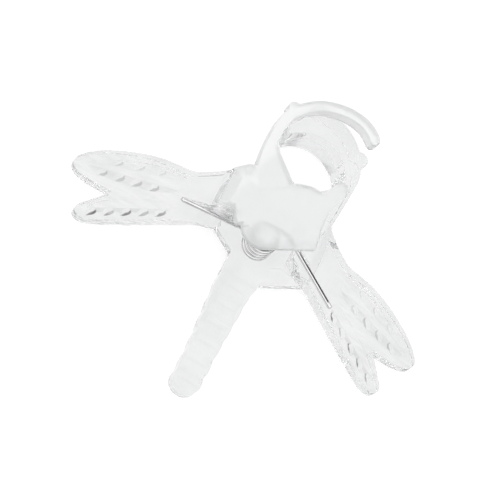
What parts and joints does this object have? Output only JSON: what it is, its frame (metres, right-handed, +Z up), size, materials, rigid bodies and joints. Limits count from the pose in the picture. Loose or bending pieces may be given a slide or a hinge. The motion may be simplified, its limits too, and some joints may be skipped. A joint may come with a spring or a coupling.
{
  "type": "orchid clip",
  "caption": "Clear dragonfly-shaped clip with a sprung pivot: squeezing the wings towards the tail opens a ring that holds a plant stem to its stake.",
  "frame": {"origin": "on the pivot axis, in the flat underside of the lower moulding that the clip lies on", "axes": "+X along the wing span to the right pair of wings, +Y towards the head and grip ring, +Z up along the pivot"},
  "size_m": [0.056, 0.0492, 0.008],
  "materials": {
    "clear_plastic": "clear, glossy, lightly frosted by the mould",
    "spring_steel": "bright drawn wire"
  },
  "bodies": {
    "lower_body": {"right_half": "clear_plastic", "torsion_spring": "spring_steel"},
    "upper_body": {"left_half": "clear_plastic"}
  },
  "joints": [
    {"name": "pivot", "type": "hinge", "parent": "lower_body", "child": "upper_body", "pos_m": [0, 0, 0.004], "axis": [0, 0, 1], "range_deg": [0, 50], "stiffness_Nm_per_rad": 0.06, "springref_deg": -28.65, "deforming": ["torsion_spring"]}
  ]
}
